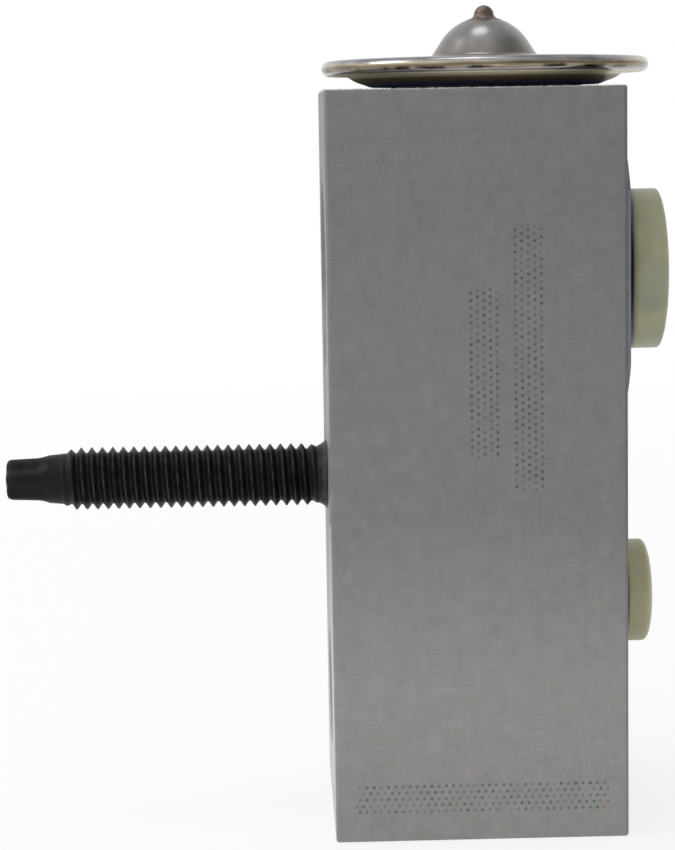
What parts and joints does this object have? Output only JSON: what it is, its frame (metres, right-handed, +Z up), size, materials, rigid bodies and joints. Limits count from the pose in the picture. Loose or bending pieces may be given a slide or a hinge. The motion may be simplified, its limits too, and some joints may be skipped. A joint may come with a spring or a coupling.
{
  "type": "block expansion valve",
  "caption": "Block expansion valve for air conditioning: aluminium block with crossing ports, diaphragm head on top, threaded stud on one side and transit plugs in the ports on the other.",
  "frame": {"origin": "centre line of the evaporator-side face, at the height of the stud and the two bolt holes", "axes": "+X out of the evaporator-side face, +Z up to the diaphragm head, +Y to the back of the valve as the picture shows it"},
  "size_m": [0.0624, 0.0306, 0.0762],
  "materials": {
    "satin_aluminium": "satin, fine mottled grain, machined top edge",
    "stainless_sheet": "polished sheet with heat tint at the weld bead",
    "dark_steel": "brown, heat-darkened",
    "spring_steel": "bright, smooth",
    "brass": "turned",
    "turned_aluminium": "turned",
    "seal_rubber": "smooth, oiled",
    "black_steel": "black phosphate with oil",
    "plug_plastic": "moulded, olive grey, softly glossy"
  },
  "bodies": {
    "valve_body": {"valve_block": "satin_aluminium", "upper_cover": "stainless_sheet", "charge_plug": "dark_steel", "diaphragm": "spring_steel", "lower_cover": "stainless_sheet", "cover_seal": "seal_rubber", "shaft_seal": "seal_rubber", "push_nut": "spring_steel", "stud": "black_steel", "valve_spring": "spring_steel"},
    "valve_stem": {"stop_plate": "brass", "sensing_shaft": "turned_aluminium", "operating_rod": "spring_steel", "valve_ball": "spring_steel", "ball_support": "brass", "damping_spring": "spring_steel"},
    "spring_carrier": {"spring_seat": "brass"},
    "adjuster": {"adjusting_screw": "brass", "screw_seal": "seal_rubber"},
    "large_transit_plug": {"suction_plug": "plug_plastic"},
    "small_transit_plug": {"liquid_plug": "plug_plastic"}
  },
  "joints": [
    {"name": "valve_stroke", "type": "slide", "parent": "valve_body", "child": "valve_stem", "axis": [0, 0, -1], "range_m": [0, 0.0006], "stiffness_N_per_m": 3000, "deforming": ["valve_spring"]},
    {"name": "adjuster_travel", "type": "slide", "parent": "valve_body", "child": "spring_carrier", "axis": [0, 0, 1], "range_m": [-0.0005, 0.0005], "deforming": ["valve_spring"]},
    {"name": "adjuster_turn", "type": "hinge", "parent": "spring_carrier", "child": "adjuster", "pos_m": [-0.0115, 0, -0.03], "axis": [0, 0, 1], "range_deg": [-180, 180]},
    {"name": "suction_plug_pull", "type": "slide", "parent": "valve_body", "child": "large_transit_plug", "axis": [1, 0, 0], "range_m": [0, 0.012]},
    {"name": "liquid_plug_pull", "type": "slide", "parent": "valve_body", "child": "small_transit_plug", "axis": [1, 0, 0], "range_m": [0, 0.01]}
  ],
  "couplings": [
    {"joint": "adjuster_turn", "follows": "adjuster_travel", "rad_per_m": 6283.2}
  ]
}
